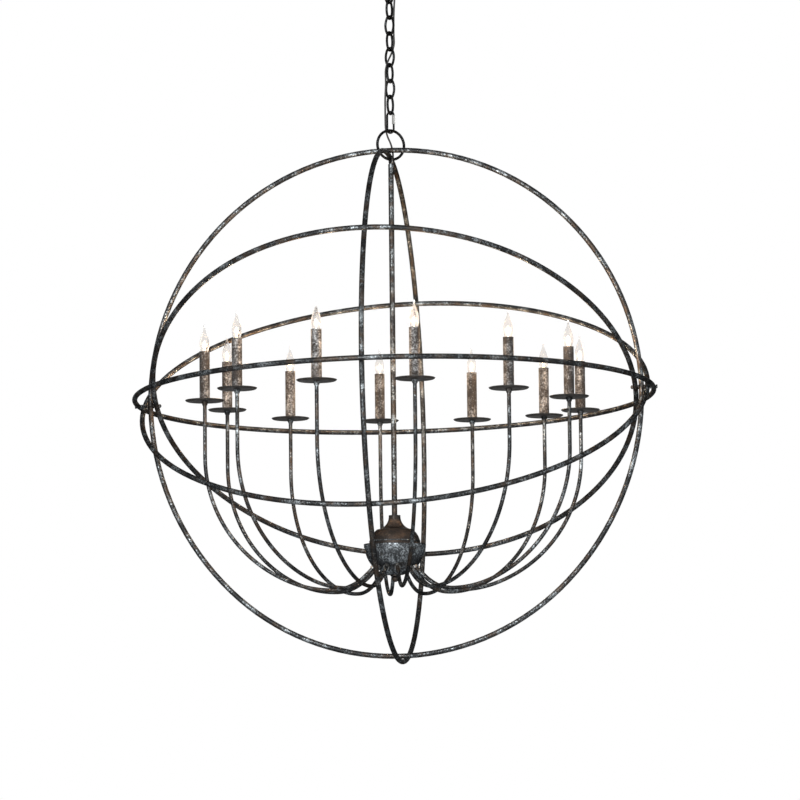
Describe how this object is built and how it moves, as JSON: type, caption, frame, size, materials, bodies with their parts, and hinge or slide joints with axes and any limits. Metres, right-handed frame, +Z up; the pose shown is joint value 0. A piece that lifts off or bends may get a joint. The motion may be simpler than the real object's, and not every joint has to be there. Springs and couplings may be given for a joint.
{
  "type": "orb chandelier",
  "caption": "Open ball of nested iron hoops on a chain, with a plumb stem, turned hub and swept arms that carry candle lights",
  "frame": {"origin": "middle of the ceiling face, at the centre of the crossbar's slots", "axes": "+Z up out of the ceiling face, +X to the viewer's right, +Y away from the viewer; the object hangs below the origin"},
  "size_m": [1.2876, 1.3028, 1.8016],
  "materials": {
    "iron_patina": "dark iron with mottled silver-grey patina",
    "rusty_iron": "dark iron with rusty brown patina",
    "sleeve_patina": "dark iron with brown and silver patina",
    "worn_silver": "worn bright steel",
    "zinc_steel": "zinc plated",
    "black_plastic": "matte",
    "cord_jacket": "matte dark jacket",
    "wire_jacket": "matte white jacket",
    "bulb_brass": "polished",
    "bulb_glass": "clear, lit from inside",
    "filament": "glowing wire"
  },
  "bodies": {
    "ceiling": {"ceiling_crossbar": "zinc_steel", "canopy_nipple": "zinc_steel", "nipple_locknuts": "zinc_steel", "canopy": "iron_patina", "cord_bushing": "black_plastic", "canopy_collar": "iron_patina", "canopy_loop": "iron_patina", "supply_cord": "cord_jacket"},
    "link_08": {"chain_link_08": "iron_patina"},
    "link_07": {"chain_link_07": "iron_patina"},
    "link_06": {"chain_link_06": "iron_patina"},
    "link_05": {"chain_link_05": "iron_patina"},
    "link_04": {"chain_link_04": "iron_patina"},
    "link_03": {"chain_link_03": "iron_patina"},
    "link_02": {"chain_link_02": "iron_patina"},
    "link_01": {"chain_link_01": "iron_patina"},
    "quick_link": {"quick_link": "iron_patina"},
    "sleeve": {"quick_link_sleeve": "zinc_steel"},
    "hang_ring": {"hang_ring": "iron_patina"},
    "stem": {"stem_loop": "iron_patina", "stem_tube": "iron_patina", "hub_cap": "rusty_iron", "hub_bowl": "iron_patina", "hub_plate": "zinc_steel", "hub_rod": "zinc_steel", "hub_locknuts": "zinc_steel", "hub_finial": "iron_patina", "hub_wire_nuts": "black_plastic", "arm_01": "iron_patina", "arm_02": "iron_patina", "arm_03": "iron_patina", "arm_04": "iron_patina", "arm_05": "iron_patina", "arm_06": "iron_patina", "arm_07": "iron_patina", "arm_08": "iron_patina", "arm_09": "iron_patina", "arm_10": "iron_patina", "arm_11": "iron_patina", "arm_12": "iron_patina", "arm_collars": "worn_silver", "arm_wires": "wire_jacket", "cup_cones": "iron_patina", "drip_cups": "iron_patina", "candle_sockets": "black_plastic", "candle_sleeves": "sleeve_patina", "bulb_bases": "bulb_brass", "bulbs": "bulb_glass", "bulb_filaments": "filament"},
    "cage": {"ring_facing": "iron_patina", "ring_side": "iron_patina", "pivot_bolts": "iron_patina", "pivot_spacers": "iron_patina", "pivot_nuts": "iron_patina"},
    "high_front": {"ring_high_front": "iron_patina"},
    "low_front": {"ring_low_front": "iron_patina"},
    "equator": {"ring_equator": "iron_patina"}
  },
  "joints": [
    {"name": "link_08_tip", "type": "hinge", "parent": "ceiling", "child": "link_08", "pos_m": [0, 0, -0.1193], "axis": [0.5592, 0.829, 0], "range_deg": [-20, 20], "deforming": ["supply_cord"]},
    {"name": "link_07_tip", "type": "hinge", "parent": "link_08", "child": "link_07", "pos_m": [0, 0, -0.1593], "axis": [0.829, -0.5592, 0], "range_deg": [-20, 20], "deforming": ["supply_cord"]},
    {"name": "link_06_tip", "type": "hinge", "parent": "link_07", "child": "link_06", "pos_m": [0, 0, -0.1993], "axis": [0.5592, 0.829, 0], "range_deg": [-20, 20], "deforming": ["supply_cord"]},
    {"name": "link_05_tip", "type": "hinge", "parent": "link_06", "child": "link_05", "pos_m": [0, 0, -0.2393], "axis": [0.829, -0.5592, 0], "range_deg": [-20, 20], "deforming": ["supply_cord"]},
    {"name": "link_04_tip", "type": "hinge", "parent": "link_05", "child": "link_04", "pos_m": [0, 0, -0.2793], "axis": [0.5592, 0.829, 0], "range_deg": [-20, 20], "deforming": ["supply_cord"]},
    {"name": "link_03_tip", "type": "hinge", "parent": "link_04", "child": "link_03", "pos_m": [0, 0, -0.3193], "axis": [0.829, -0.5592, 0], "range_deg": [-20, 20], "deforming": ["supply_cord"]},
    {"name": "link_02_tip", "type": "hinge", "parent": "link_03", "child": "link_02", "pos_m": [0, 0, -0.3593], "axis": [0.5592, 0.829, 0], "range_deg": [-20, 20], "deforming": ["supply_cord"]},
    {"name": "link_01_tip", "type": "hinge", "parent": "link_02", "child": "link_01", "pos_m": [0, 0, -0.3993], "axis": [0.829, -0.5592, 0], "range_deg": [-20, 20], "deforming": ["supply_cord"]},
    {"name": "quick_link_tip", "type": "hinge", "parent": "link_01", "child": "quick_link", "pos_m": [0, 0, -0.4393], "axis": [0.5592, 0.829, 0], "range_deg": [-20, 20], "deforming": ["supply_cord"]},
    {"name": "sleeve_travel", "type": "slide", "parent": "quick_link", "child": "sleeve", "axis": [0, 0, -1], "range_m": [0, 0.0115]},
    {"name": "hang_ring_tip", "type": "hinge", "parent": "quick_link", "child": "hang_ring", "pos_m": [0, 0, -0.48675], "axis": [0.829, -0.5592, 0], "range_deg": [-20, 20], "deforming": ["supply_cord"]},
    {"name": "stem_tip", "type": "hinge", "parent": "hang_ring", "child": "stem", "pos_m": [0, 0, -0.55355], "axis": [0.8988, 0.4384, 0], "range_deg": [-3, 3], "deforming": ["supply_cord"]},
    {"name": "cage_tip", "type": "hinge", "parent": "hang_ring", "child": "cage", "pos_m": [0, 0, -0.55355], "axis": [0.8988, 0.4384, 0], "range_deg": [-3, 3], "deforming": ["supply_cord"]},
    {"name": "high_front_turn", "type": "hinge", "parent": "cage", "child": "high_front", "pos_m": [0.0025, 0.0012, -1.144], "axis": [0.9926, -0.1206, 0.0157], "range_deg": [-14, 7]},
    {"name": "low_front_turn", "type": "hinge", "parent": "cage", "child": "low_front", "pos_m": [0.0025, 0.0012, -1.144], "axis": [0.9926, -0.1206, 0.0157], "range_deg": [-17, 34]},
    {"name": "equator_turn", "type": "hinge", "parent": "cage", "child": "equator", "pos_m": [0.0025, 0.0012, -1.144], "axis": [0.9926, -0.1206, 0.0157], "range_deg": [-15, 15]}
  ]
}
